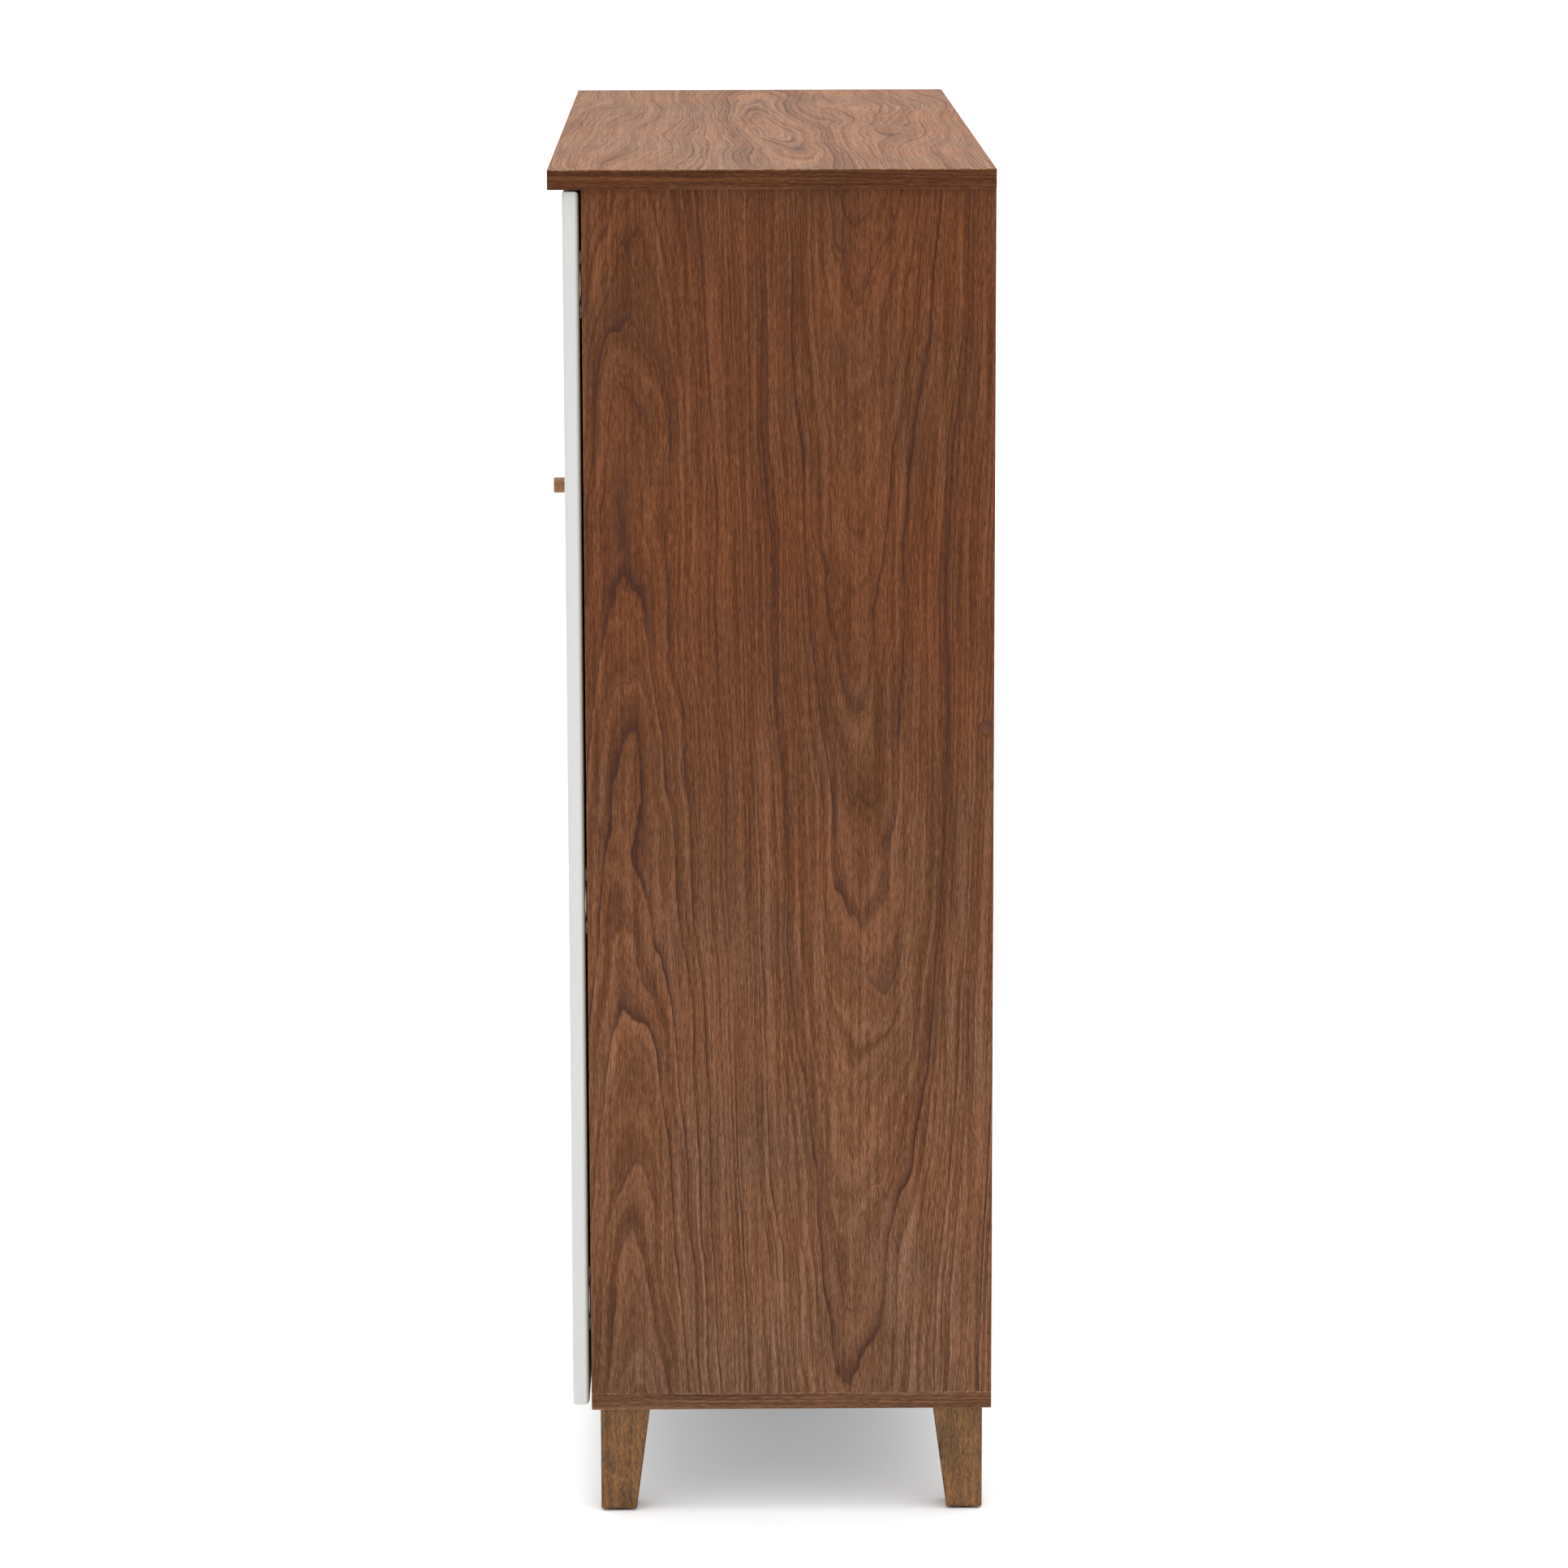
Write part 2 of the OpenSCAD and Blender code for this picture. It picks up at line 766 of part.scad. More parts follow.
// The knob's screw, with a thin head on the door's inner face
module knob_screw(d) {
    color(zinc)
        difference() {
            union() {
                bar_y([knob_x(d), door_back_y, knob_z], 4, 1.3);
                bar_y([knob_x(d), door_back_y + 0.5, knob_z], knob_screw_r,
                    -0.5 - door_t - knob_screw_in);
            }
            board([knob_x(d) - 2.4, door_back_y + 0.5, knob_z - 0.5],
                [knob_x(d) + 2.4, door_back_y + 2, knob_z + 0.5]);
            board([knob_x(d) - 0.5, door_back_y + 0.5, knob_z - 2.4],
                [knob_x(d) + 0.5, door_back_y + 2, knob_z + 2.4]);
        }
}

// Soft discs that the closed door rests on: two above the bottom panel's front edge, and on the
// right door a third against the partition
module door_bumpers(d) {
    free_x = d == "left" ? edge_x(d) + door_w : edge_x(d) - door_w;
    inward = d == "left" ? -1 : 1;
    low_z = door_z0 + 5;
    places = concat(
        [[free_x + inward * 8, low_z], [free_x + inward * door_w / 2, low_z]],
        d == "right" ? [[free_x + 3, door_z1 - 30]] : []);
    color([0.85, 0.85, 0.83])
        for (p = places)
            bar_y([p[0], door_back_y, p[1]], bumper_r, door_gap - 0.2);
}

top_panel();
bottom_panel();
side_panel(1);  // side_panel_right
side_panel(-1);  // side_panel_left
partition_panel();
back_rail();
back_panel_upper();
back_panel_lower();
for (i = [1:shelf_count]) {
    shelf(right_x0, inner_x, i);
    shelf(-inner_x, left_x1, i);
}
shelf_pins();
leg(1, -1);  // leg_front_right
leg(-1, -1);  // leg_front_left
leg(1, 1);  // leg_rear_right
leg(-1, 1);  // leg_rear_left
leg_centre();
leg_threaded_inserts();
leg_hanger_bolts();
leg_glides();
confirmat_screws();
screw_cover_caps();
cam_locks();
cam_dowels();
hinge_plates();
hinge_plate_screws();
hinge_arms();
hinge_arm_screws();
hinge_arm_pins();
for (d = ["right", "middle", "left"]) {
    hinge_links(d);
    door(d);
    hinge_cups(d);
    hinge_cup_pins(d);
    hinge_cup_screws(d);
    knob(d);
    knob_screw(d);
    door_bumpers(d);
}
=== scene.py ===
"""The looks of the three-door shoe cabinet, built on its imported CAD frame, in metres."""

import math

import bmesh
import bpy
from mathutils import Matrix, Vector


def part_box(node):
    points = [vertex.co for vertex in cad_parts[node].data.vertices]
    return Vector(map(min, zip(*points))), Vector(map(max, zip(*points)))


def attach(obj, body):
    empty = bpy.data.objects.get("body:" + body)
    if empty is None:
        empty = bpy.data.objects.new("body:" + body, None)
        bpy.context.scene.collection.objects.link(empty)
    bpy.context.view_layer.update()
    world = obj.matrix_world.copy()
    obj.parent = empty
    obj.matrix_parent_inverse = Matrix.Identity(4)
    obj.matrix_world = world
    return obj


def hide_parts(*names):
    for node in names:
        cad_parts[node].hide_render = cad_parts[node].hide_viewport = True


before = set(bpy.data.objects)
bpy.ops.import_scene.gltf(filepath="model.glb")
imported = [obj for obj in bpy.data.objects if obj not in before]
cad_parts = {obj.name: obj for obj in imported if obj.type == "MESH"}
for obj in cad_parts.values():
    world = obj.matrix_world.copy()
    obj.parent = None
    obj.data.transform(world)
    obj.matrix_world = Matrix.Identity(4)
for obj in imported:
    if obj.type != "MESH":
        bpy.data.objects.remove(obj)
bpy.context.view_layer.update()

MM = 0.001
DOORS = ("right", "middle", "left")
SHELVES = [f"shelf_{side}_{i}" for side in ("right", "left") for i in range(1, 6)]
LEGS = ("leg_front_right", "leg_front_left", "leg_rear_right", "leg_rear_left", "leg_centre")

# ---- Camera: its place in metres, its turns in radians, its lens and sensor in millimetres ----

CAMERA_AT = (5.5406, -0.0499, 1.6041)
CAMERA_YAW = 0.0127
CAMERA_PITCH = -0.183
CAMERA_ROLL = -0.0025
CAMERA_LENS = 127.3
CAMERA_SENSOR = 36
CAMERA_REACH = (0.1, 200)


def make_camera():
    """The camera stands to the right of the cabinet and looks at its side along -X."""
    data = bpy.data.cameras.new("camera")
    data.lens = CAMERA_LENS
    data.sensor_width = CAMERA_SENSOR
    data.clip_start, data.clip_end = CAMERA_REACH
    camera = bpy.data.objects.new("camera", data)
    bpy.context.scene.collection.objects.link(camera)
    ahead = Vector((-math.cos(CAMERA_YAW), math.sin(CAMERA_YAW), 0))
    right = Vector((math.sin(CAMERA_YAW), math.cos(CAMERA_YAW), 0))
    up = Vector((0, 0, 1))
    c, s = math.cos(CAMERA_PITCH), math.sin(CAMERA_PITCH)
    ahead, up = ahead * c + up * s, up * c - ahead * s
    c, s = math.cos(CAMERA_ROLL), math.sin(CAMERA_ROLL)
    right, up = right * c + up * s, up * c - right * s
    turn = Matrix((right, up, -ahead)).transposed()
    camera.matrix_world = Matrix.Translation(CAMERA_AT) @ turn.to_4x4()
    bpy.context.scene.camera = camera


# ---- Node helpers ----


def new_material(name):
    """A material with one Principled shader, and its tree and shader."""
    made = bpy.data.materials.new(name)
    made.use_nodes = True
    tree = made.node_tree
    tree.nodes.clear()
    shader = tree.nodes.new("ShaderNodeBsdfPrincipled")
    out = tree.nodes.new("ShaderNodeOutputMaterial")
    tree.links.new(shader.outputs[0], out.inputs["Surface"])
    return made, tree, shader


def put(tree, kind, inputs=None, **settings):
    """A new node. inputs maps a socket's name or number to a value or to another socket."""
    made = tree.nodes.new("ShaderNode" + kind)
    for key, value in settings.items():
        setattr(made, key, value)
    for key, value in (inputs or {}).items():
        if isinstance(value, bpy.types.NodeSocket):
            tree.links.new(value, made.inputs[key])
        else:
            made.inputs[key].default_value = value
    return made


def maths(tree, operation, *values):
    """The result of one Math node."""
    return put(tree, "Math", dict(enumerate(values)), operation=operation).outputs[0]


def scaled(tree, vector, scale, offset=(0, 0, 0)):
    """vector times scale, plus offset."""
    inputs = {"Vector": vector, "Scale": scale, "Location": offset}
    return put(tree, "Mapping", inputs).outputs[0]


def noise(tree, vector, scale, detail=2.0, rough=0.5, distortion=0.0):
    """A noise from 0 to 1 with its middle near 0.5."""
    inputs = {"Vector": vector, "Scale": scale, "Detail": detail, "Roughness": rough,
              "Distortion": distortion}
    return put(tree, "TexNoise", inputs).outputs[0]


def remap(tree, value, low, high, to_low=0.0, to_high=1.0):
    """value taken smoothly from low..high to to_low..to_high and held at the ends."""
    inputs = {"Value": value, "From Min": low, "From Max": high, "To Min": to_low,
              "To Max": to_high}
    return put(tree, "MapRange", inputs, interpolation_type="SMOOTHSTEP").outputs[0]


def ramp(tree, value, stops):
    """A colour ramp with straight steps through (position, colour) stops."""
    made = put(tree, "ValToRGB", {"Fac": value})
    made.color_ramp.interpolation = "LINEAR"
    points = made.color_ramp.elements
    while len(points) < len(stops):
        points.new(0.5)
    for point, (position, colour) in zip(points, stops):
        point.position = position
        point.color = (*colour, 1)
    return made.outputs[0]


def curve_of(tree, value, stops):
    """A grey ramp through (position, brightness) stops."""
    return ramp(tree, value, [(p, (v, v, v)) for p, v in stops])


def mix(tree, share, first, second, how="MIX"):
    """Two colours mixed by share."""
    made = put(tree, "Mix", data_type="RGBA", blend_type=how)
    sockets = {0: share, 6: first, 7: second}
    for key, value in sockets.items():
        if isinstance(value, bpy.types.NodeSocket):
            tree.links.new(value, made.inputs[key])
        elif key:
            made.inputs[key].default_value = (*value, 1)
        else:
            made.inputs[key].default_value = value
    return made.outputs[2]


def bump(tree, height, depth, strength=1.0):
    """A bump whose height of 1 stands depth metres high."""
    return put(tree, "Bump", {"Height": height, "Distance": depth, "Strength": strength}).outputs[0]


def place(tree):
    """The point's own place on the object, in metres, as a vector and as x, y and z."""
    vector = put(tree, "TexCoord").outputs["Object"]
    parts = put(tree, "SeparateXYZ", {0: vector}).outputs
    return vector, parts[0], parts[1], parts[2]


def wear_and_shade(tree):
    """How much each face is marked, from the mesh's own attribute: rubbed edges, and painted shade on
    door back edges and knob heads.
    """
    return put(tree, "Attribute", attribute_name="wear_and_shade").outputs["Fac"]


# ---- Walnut ----

# Colours of the fibres from dark to light, of the ring lines and of the pores
SIDE_TONES = {"dark": (0.071, 0.0228, 0.0066), "mid": (0.118, 0.0418, 0.0148),
              "light": (0.187, 0.0755, 0.0345), "line": (0.038, 0.0128, 0.0085),
              "pore": (0.042, 0.0145, 0.0062)}
# The top's tones: the side's veneer made lighter and greyer, a painted sheen of light grazing the top
TOP_TONES_WITH_SHEEN = {"dark": (0.148, 0.068, 0.033), "mid": (0.210, 0.107, 0.060),
             "light": (0.280, 0.160, 0.102), "line": (0.056, 0.023, 0.015),
             "pore": (0.095, 0.044, 0.026)}
WORN_COLOUR = (0.42, 0.26, 0.15)
# Factors for red, green and blue: painted reflection of the floor on the sides' low end, warm and deep
# patches, cut edges
FLOOR_SHEEN = (1.40, 1.86, 2.55)
WARM = (1.15, 1.02, 0.90)
DEEP = (0.80, 0.76, 0.72)
EDGE_TONE = (0.73, 0.70, 0.58)
# The bottom's cut edges near the floor, paler and greyer: painted reflection of the floor
LOW_EDGE_SHEEN_TONE = (1.19, 1.47, 1.80)
# How far apart the growth rings are on the sides, on the top and on cut edges
RING_SPACING = 5.8 * MM
TOP_SPACING = 8.5 * MM
EDGE_SPACING = 3.4 * MM
# Where the figure has its middle, in metres
FRONT_HEART_Y = -0.129
REAR_HEART_Y = 0.087
HEARTS_MEET = (-0.050, 0.015)
EYE_X, EYE_Y = 0.059, 0.017
# How deep the pith lies: (change per metre of height, depth at the floor), and along the top
FRONT_PITH = (0.066, 0.040)
REAR_PITH = (-0.060, 0.160)
EYE_PITH_SLOPE = 0.080
# The rear rings count down from here, so they meet the front ones
REAR_COUNTS_FROM = 0.370
PITH_CROWDING = 3.0
# Waves of the rings: amplitude in metres, then waves per metre across and along the grain
HEART_WAVES = [(0.036, 8, 2.6), (0.011, 28, 8), (0.0018, 150, 50)]
EYE_LENGTH_WAVES = [(0.45, 10, 1.8)]
EYE_WIDTH_WAVES = [(0.14, 5, 1.1), (0.035, 14, 3.0)]
EYE_WAVES = [(0.014, 22, 4.0), (0.0035, 60, 13)]
STRAIGHT_WAVES = [(0.030, 9, 1.6), (0.006, 40, 6), (0.0012, 200, 60)]
# A growth ring from its start to its end, as (place, darkness)
RING_PROFILE = [(0, 0.9), (0.1, 0.8), (0.26, 0.42), (0.6, 0.14), (0.9, 0.04), (0.97, 0.4),
                (1, 0.9)]
# Heights in metres from the full painted reflection of the floor to none
FLOOR_SHEEN_HEIGHTS = (0.12, 0.92)
# Streaks that follow the rings: per metre of field and per metre of grain
STREAKS = (330.0, 2.5)
DEEP_BANDS = 26.0
# How much each kind of fibre counts in the shade, the sum's offset, and the shades of the tones
THREAD_SHARE, LONG_THREAD_SHARE, STREAK_SHARE = 0.56, 0.32, 0.42
SHADE_OFFSET = -0.15
TONE_SHADES = {"dark": 0.40, "mid": 0.50, "light": 0.61}


def tint(colour, by):
    """colour brightened or dimmed, or with one factor for each channel."""
    by = by if isinstance(by, tuple) else (by, by, by)
    return tuple(c * b for c, b in zip(colour, by))


def pith_distance(tree, across, centre, height):
    """Distance from the tree's pith, which lies height under the face at centre.
    It grows faster far from the pith, where the rings stand closer."""
    side = maths(tree, "SUBTRACT", across, centre)
    square = maths(tree, "MULTIPLY", side, side)
    radius = maths(tree, "SQRT", maths(tree, "MULTIPLY_ADD", height, height, square))
    return maths(tree, "MULTIPLY_ADD", square, PITH_CROWDING, radius)


def warped(tree, field, vector, along, waves, seed=0.0):
    """field moved by noises. seed gives each use its own noises."""
    for i, (amplitude, across_scale, along_scale) in enumerate(waves):
        scale = [across_scale] * 3
        scale[along] = along_scale
        offset = (seed + i * 3.7, seed + i * 1.9, seed + i * 5.3)
        wave = noise(tree, scaled(tree, vector, scale, offset), 1.0, 2.0)
        moved = maths(tree, "SUBTRACT", wave, 0.5)
        field = maths(tree, "MULTIPLY_ADD", moved, amplitude, field)
    return field


def two_hearts(tree, vector, y, z):
    """Side veneer: arches pointing up near the front and pointing down near the back."""
    low = maths(tree, "MULTIPLY_ADD", z, *FRONT_PITH)
    high = maths(tree, "MULTIPLY_ADD", z, *REAR_PITH)
    front = pith_distance(tree, y, FRONT_HEART_Y, low)
    rear = maths(tree, "SUBTRACT", REAR_COUNTS_FROM, pith_distance(tree, y, REAR_HEART_Y, high))
    share = remap(tree, y, *HEARTS_MEET)
    front = maths(tree, "MULTIPLY", front, maths(tree, "SUBTRACT", 1.0, share))
    field = maths(tree, "MULTIPLY_ADD", rear, share, front)
    return warped(tree, field, vector, 2, HEART_WAVES)


def one_eye(tree, vector, x, y):
    """Top veneer: long rings round one eye, bent into waves."""
    x = warped(tree, x, vector, 0, EYE_LENGTH_WAVES, 17.0)
    y = warped(tree, y, vector, 0, EYE_WIDTH_WAVES, 4.0)
    height = maths(tree, "MULTIPLY", maths(tree, "SUBTRACT", x, EYE_X), EYE_PITH_SLOPE)
    field = pith_distance(tree, y, EYE_Y, height)
    return warped(tree, field, vector, 0, EYE_WAVES, 9.0)


def straight(tree, vector, across, along):
    """Quarter-sawn veneer: nearly parallel lines."""
    return warped(tree, across, vector, along, STRAIGHT_WAVES)


def fibres(tree, vector, along, fine, stretch, curl=0.0):
    """Fine streaks, fine of them per metre across and stretch times as long as wide."""
    scale = [fine] * 3
    scale[along] = fine / stretch
    return noise(tree, scaled(tree, vector, scale), 1.0, 3.0, 0.6, curl)


def ring_lines(tree, vector, field, spacing):
    """Dark lines between growth rings: sharp on one side, some strong and some faint."""
    phase = maths(tree, "DIVIDE", field, spacing)
    ring = maths(tree, "FLOOR", phase)
    part = maths(tree, "FRACT", phase)
    chance = put(tree, "TexWhiteNoise", {"W": ring}, noise_dimensions="1D").outputs[0]
    line = curve_of(tree, part, RING_PROFILE)
    patch = noise(tree, scaled(tree, vector, (14, 14, 14)), 1.0, 3.0)
    patch = remap(tree, patch, 0.34, 0.60, 0.45, 1)
    strength = maths(tree, "MULTIPLY", remap(tree, chance, 0.1, 0.9, 0.18, 1.0), patch)
    return maths(tree, "MULTIPLY", line, strength)


def wood_shade(tree, vector, field, place_along, along):
    """How light each fibre is, around 0.5, and the short fibres alone."""
    at = {i: maths(tree, "MULTIPLY", value, STREAKS[i]) for i, value in enumerate((field, place_along))}
    streak = noise(tree, put(tree, "CombineXYZ", at).outputs[0], 1.0, 4.0, 0.65)
    thread = fibres(tree, vector, along, 1200, 12, 0.5)
    long_thread = fibres(tree, vector, along, 260, 45)
    shade = maths(tree, "MULTIPLY_ADD", thread, THREAD_SHARE, SHADE_OFFSET)
    shade = maths(tree, "MULTIPLY_ADD", long_thread, LONG_THREAD_SHARE, shade)
    return maths(tree, "MULTIPLY_ADD", streak, STREAK_SHARE, shade), thread


def walnut(name, along, make_field, tones, tone=1.0, spacing=RING_SPACING, pale=0.0):
    """Open-pored walnut. along is the grain's axis, 0 to 2, and make_field the growth rings.
    pale is how strong the painted reflection of the floor is on its lower end."""
    made, tree, shader = new_material(name)
    vector, x, y, z = place(tree)
    field = make_field(tree, vector, x, y, z)
    dark_line = ring_lines(tree, vector, field, spacing)
    shade, thread = wood_shade(tree, vector, field, (x, y, z)[along], along)
    pore = remap(tree, fibres(tree, vector, along, 1900, 14), 0.56, 0.66)
    paint = {key: tint(value, tone) for key, value in tones.items()}
    colour = ramp(tree, shade, [(shade_at, paint[key]) for key, shade_at in TONE_SHADES.items()])
    warm = mix(tree, 1.0, colour, WARM, "MULTIPLY")
    colour = mix(tree, remap(tree, noise(tree, vector, 5.0, 3.0), 0.35, 0.65), warm, colour)
    band = put(tree, "CombineXYZ", {0: maths(tree, "MULTIPLY", field, DEEP_BANDS)}).outputs[0]
    deep = mix(tree, 1.0, colour, DEEP, "MULTIPLY")
    colour = mix(tree, remap(tree, noise(tree, band, 1.0, 3.0), 0.48, 0.66), colour, deep)
    # Painted reflection of the floor: the lower end paler and greyer, fading out upwards
    with_floor_sheen = mix(tree, 1.0, colour, FLOOR_SHEEN, "MULTIPLY")
    colour = mix(tree, remap(tree, z, *FLOOR_SHEEN_HEIGHTS, pale, 0.0), colour, with_floor_sheen)
    colour = mix(tree, dark_line, colour, paint["line"])
    colour = mix(tree, maths(tree, "MULTIPLY", pore, 0.5), colour, paint["pore"])
    chips = remap(tree, noise(tree, vector, 260.0, 3.0), 0.45, 0.62)
    rubbed = maths(tree, "MULTIPLY", wear_and_shade(tree), maths(tree, "MULTIPLY_ADD", chips, 0.75, 0.25))
    colour = mix(tree, rubbed, colour, tint(WORN_COLOUR, tone))
    tree.links.new(colour, shader.inputs["Base Color"])

    gloss = maths(tree, "MULTIPLY_ADD", thread, 0.16, 0.46)
    tree.links.new(maths(tree, "MULTIPLY_ADD", pore, 0.2, gloss), shader.inputs["Roughness"])
    height = maths(tree, "MULTIPLY_ADD", pore, -1.0, maths(tree, "MULTIPLY", thread, 0.6))
    height = maths(tree, "MULTIPLY_ADD", dark_line, -0.3, height)
    tree.links.new(bump(tree, height, 0.12 * MM, 0.6), shader.inputs["Normal"])
    shader.inputs["Specular IOR Level"].default_value = 0.1
    return made


def straight_walnut(name, along, across, tone=EDGE_TONE, spacing=EDGE_SPACING):
    """Walnut with nearly parallel grain along one axis, its lines counted along another."""
    def field(tree, vector, x, y, z):
        return straight(tree, vector, (x, y, z)[across], along)
    return walnut(name, along, field, SIDE_TONES, tone, spacing)


# ---- Other materials ----


def solid_wood(name, dark, mid, light, blotches):
    """Stained solid wood with upright grain: short dark dashes, cloudy stain, darker worn edges."""
    made, tree, shader = new_material(name)
    vector, *_ = place(tree)
    thread = fibres(tree, vector, 2, 750, 4)
    lines = fibres(tree, vector, 2, 240, 14)
    shade = maths(tree, "MULTIPLY_ADD", thread, 0.6, maths(tree, "MULTIPLY", lines, 0.4))
    colour = ramp(tree, shade, [(0.38, dark), (0.50, mid), (0.64, light)])
    cloud = noise(tree, scaled(tree, vector, (45, 45, 22)), 1.0, 4.0, 0.6, 0.4)
    stained = mix(tree, 1.0, colour, (0.60, 0.66, 0.72), "MULTIPLY")
    colour = mix(tree, remap(tree, cloud, 0.48, 0.64, 0, blotches), colour, stained)
    dash = remap(tree, fibres(tree, vector, 2, 1100, 5), 0.56, 0.66)
    colour = mix(tree, maths(tree, "MULTIPLY", dash, 0.6), colour, tint(dark, 0.6))
    colour = mix(tree, maths(tree, "MULTIPLY", wear_and_shade(tree), 0.7), colour, tint(dark, 0.7))
    tree.links.new(colour, shader.inputs["Base Color"])
    tree.links.new(maths(tree, "MULTIPLY_ADD", thread, 0.2, 0.42), shader.inputs["Roughness"])
    tree.links.new(bump(tree, thread, 0.12 * MM, 0.6), shader.inputs["Normal"])
    shader.inputs["Specular IOR Level"].default_value = 0.25
    return made


def turned_wood(name):
    """Turned knob wood: grain along the knob's length, and painted shade on the marked rows of its head.
    """
    made, tree, shader = new_material(name)
    vector, *_ = place(tree)
    thread = fibres(tree, vector, 1, 1100, 9)
    band = noise(tree, scaled(tree, vector, (190, 25, 190)), 1.0, 3.0)
    shade = maths(tree, "MULTIPLY_ADD", thread, 0.5, maths(tree, "MULTIPLY", band, 0.5))
    colour = ramp(tree, shade, [(0.36, (0.12, 0.042, 0.014)), (0.50, (0.36, 0.145, 0.050)),
                                (0.64, (0.62, 0.300, 0.125))])
    # Painted shade: the marked rows of the knob's head darkened
    colour = mix(tree, maths(tree, "MULTIPLY", wear_and_shade(tree), 0.8), colour, (0.075, 0.030, 0.016))
    tree.links.new(colour, shader.inputs["Base Color"])
    tree.links.new(maths(tree, "MULTIPLY_ADD", band, 0.15, 0.30), shader.inputs["Roughness"])
    tree.links.new(bump(tree, thread, 0.06 * MM, 0.6), shader.inputs["Normal"])
    return made


def lacquer(name, colour, beige_and_shade_edge):
    """Satin lacquer: a faint orange peel, a hint of uneven tone, dust and a beige edge darkened with
    painted shade.
    """
    made, tree, shader = new_material(name)
    vector, *_ = place(tree)
    tone = noise(tree, vector, 3.5, 4.0)
    base = mix(tree, remap(tree, tone, 0.35, 0.65), colour, tint(colour, (0.985, 0.983, 0.977)))
    dust = remap(tree, noise(tree, vector, 420.0, 2.0), 0.68, 0.76)
    base = mix(tree, maths(tree, "MULTIPLY", dust, 0.12), base, tint(colour, 0.7))
    # Beige back edges of the doors, darkened with painted shade from the gap behind them
    base = mix(tree, wear_and_shade(tree), base, beige_and_shade_edge)
    tree.links.new(base, shader.inputs["Base Color"])
    peel = noise(tree, vector, 260.0, 2.0)
    tree.links.new(remap(tree, tone, 0.3, 0.7, 0.30, 0.38), shader.inputs["Roughness"])
    tree.links.new(bump(tree, peel, 0.05 * MM, 0.35), shader.inputs["Normal"])
    shader.inputs["Coat Weight"].default_value = 0.15
    shader.inputs["Coat Roughness"].default_value = 0.25
    return made


def plastic(name, colour, rough, grain, marks, soft=0.0):
    """Moulded plastic with a fine grain, paler scuffs and darker worn edges."""
    made, tree, shader = new_material(name)
    vector, *_ = place(tree)
    cloud = noise(tree, vector, 160.0, 3.0)
    base = mix(tree, remap(tree, cloud, 0.3, 0.7), tint(colour, 0.86), tint(colour, 1.16))
    scuff = remap(tree, noise(tree, scaled(tree, vector, (900, 120, 900)), 1.0, 3.0), 0.60, 0.72)
    base = mix(tree, maths(tree, "MULTIPLY", scuff, marks), base, tint(colour, 1.9))
    base = mix(tree, maths(tree, "MULTIPLY", wear_and_shade(tree), 0.6), base, tint(colour, 0.6))
    tree.links.new(base, shader.inputs["Base Color"])
    tree.links.new(remap(tree, cloud, 0.3, 0.7, rough - 0.06, rough + 0.06), shader.inputs["Roughness"])
    tree.links.new(bump(tree, noise(tree, vector, grain, 2.0), 0.05 * MM, 0.6), shader.inputs["Normal"])
    shader.inputs["Specular IOR Level"].default_value = 0.25
    shader.inputs["Subsurface Weight"].default_value = soft
    shader.inputs["Subsurface Scale"].default_value = 1.0 * MM
    return made


def plated_steel(name, colour, rough, along):
    """Plated steel with a drawn grain along one axis and faint stains."""
    made, tree, shader = new_material(name)
    vector, *_ = place(tree)
    drawn = fibres(tree, vector, along, 2600, 30)
    stain = noise(tree, vector, 45.0, 4.0, 0.6)
    base = mix(tree, remap(tree, stain, 0.38, 0.66), colour, tint(colour, (0.80, 0.78, 0.74)))
    base = mix(tree, remap(tree, drawn, 0.3, 0.7, 0, 0.35), base, tint(colour, 0.82))
    tree.links.new(base, shader.inputs["Base Color"])
    haze = maths(tree, "MULTIPLY_ADD", stain, 0.16, rough)
    tree.links.new(maths(tree, "MULTIPLY_ADD", drawn, 0.08, haze), shader.inputs["Roughness"])
    tree.links.new(bump(tree, drawn, 0.03 * MM, 0.5), shader.inputs["Normal"])
    shader.inputs["Metallic"].default_value = 1.0
    return made


def fibreboard(name, colour):
    """Pressed board seen on its rough side: short fibres that cross."""
    made, tree, shader = new_material(name)
    vector, *_ = place(tree)
    one = noise(tree, scaled(tree, vector, (900, 300, 120)), 1.0, 3.0, 0.6, 1.5)
    two = noise(tree, scaled(tree, vector, (140, 300, 800)), 1.0, 3.0, 0.6, 1.5)
    felt = maths(tree, "MAXIMUM", one, two)
    base = ramp(tree, felt, [(0.42, tint(colour, 0.55)), (0.56, colour), (0.72, tint(colour, 1.6))])
    cloud = noise(tree, vector, 6.0, 4.0)
    base = mix(tree, remap(tree, cloud, 0.35, 0.65, 0, 0.4), base, tint(colour, 0.8))
    tree.links.new(base, shader.inputs["Base Color"])
    tree.links.new(remap(tree, felt, 0.4, 0.7, 0.62, 0.8), shader.inputs["Roughness"])
    tree.links.new(bump(tree, felt, 0.10 * MM, 0.7), shader.inputs["Normal"])
    return made


# ---- Mesh helpers ----

WELD_DISTANCE = 0.001 * MM
SAME_PLANE = 0.01 * MM
FLAT_ANGLE = math.radians(0.3)
SMOOTH_ANGLE = math.radians(32)
SHARP_ANGLE = math.radians(60)


def copy_of_node(node):
    """A bmesh of the CAD node's surface, welded and with its flat faces whole."""
    made = bmesh.new()
    made.from_mesh(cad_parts[node].data)
    bmesh.ops.remove_doubles(made, verts=made.verts, dist=WELD_DISTANCE)
    bmesh.ops.dissolve_limit(made, angle_limit=FLAT_ANGLE, verts=made.verts, edges=made.edges)
    return made


